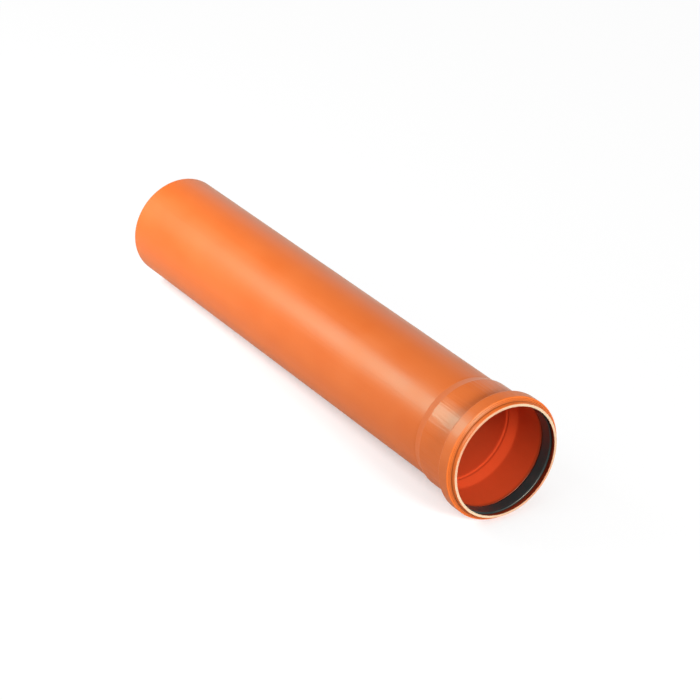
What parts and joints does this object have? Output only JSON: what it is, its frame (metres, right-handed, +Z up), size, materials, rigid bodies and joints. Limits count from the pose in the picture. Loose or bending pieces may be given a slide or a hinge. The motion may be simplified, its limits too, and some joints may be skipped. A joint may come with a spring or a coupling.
{
  "type": "sewer pipe",
  "caption": "Short length of orange-brown plastic sewer pipe with a belled socket, a bead round its seal groove, a black rubber lip seal and a plain spigot end.",
  "frame": {"origin": "on the ground, under the middle of the bounding box of the pipe as it lies", "axes": "+X towards the socket mouth, along the pipe and level; +Z up. The pipe's own axis lies in the XZ plane and rises 0.83 degrees towards +X, because the bead holds the socket end up."},
  "size_m": [0.6016, 0.1268, 0.1269],
  "materials": {
    "pipe_plastic": "satin orange-brown extruded plastic, with pale sawn ends",
    "seal_rubber": "matt black moulded rubber"
  },
  "bodies": {
    "root": {"pipe": "pipe_plastic", "seal_ring": "seal_rubber"}
  },
  "joints": []
}
